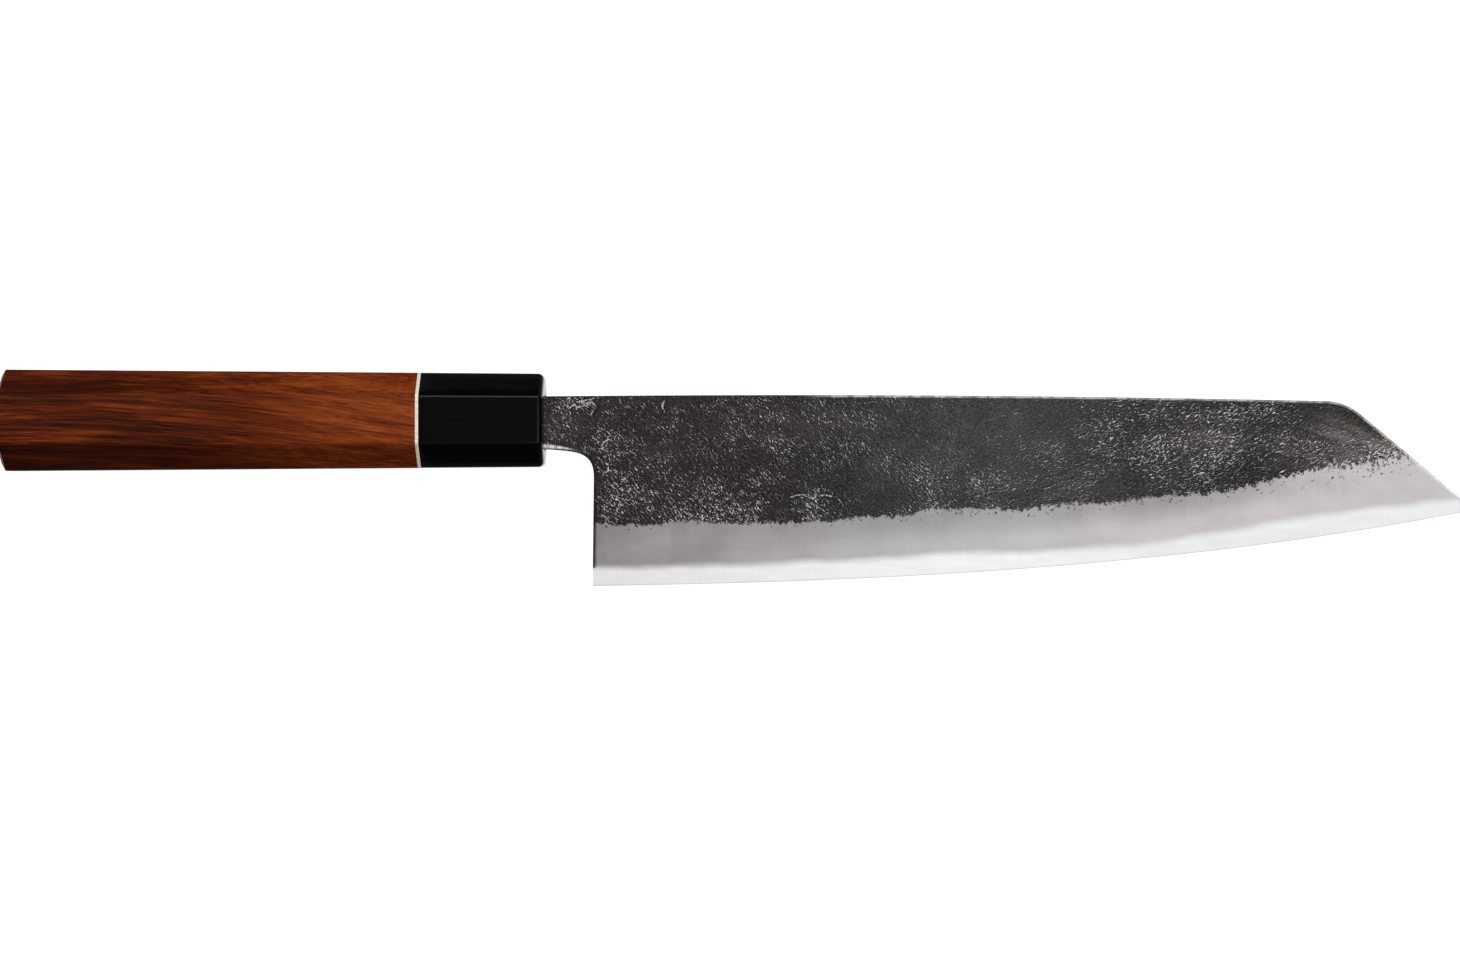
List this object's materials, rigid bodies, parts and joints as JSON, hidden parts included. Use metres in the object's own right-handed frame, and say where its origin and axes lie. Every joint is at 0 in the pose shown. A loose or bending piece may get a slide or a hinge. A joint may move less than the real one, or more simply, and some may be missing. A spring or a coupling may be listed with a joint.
{
  "type": "kiritsuke kitchen knife",
  "caption": "Kiritsuke chef's knife lying on its side: three-layer blade with dark forge scale and a sloped point, octagonal wooden handle with pale spacer and black ferrule.",
  "frame": {"origin": "middle of the bounding box seen from above, at the level of the handle's lowest facet", "axes": "+X along the knife from butt to tip, +Y from the cutting edge to the spine, +Z out of the right face of the blade, as the knife lies on its left side"},
  "size_m": [0.4, 0.0588, 0.023],
  "materials": {
    "core_steel": "fine satin, bright along the cutting edge",
    "forged_iron": "rough black forge scale above the bevel, satin-ground grey on the bevel",
    "handle_wood": "polished reddish-brown hardwood with straight dark and orange grain",
    "spacer": "polished cream white",
    "black_horn": "polished black horn",
    "dowel_wood": "plain pale hardwood",
    "bedding_resin": "dull dark resin"
  },
  "bodies": {
    "root": {"blade_core": "core_steel", "cladding_right": "forged_iron", "cladding_left": "forged_iron", "handle_body": "handle_wood", "spacer_ring": "spacer", "ferrule": "black_horn", "ferrule_dowel": "dowel_wood", "tang_bedding": "bedding_resin"}
  },
  "joints": []
}
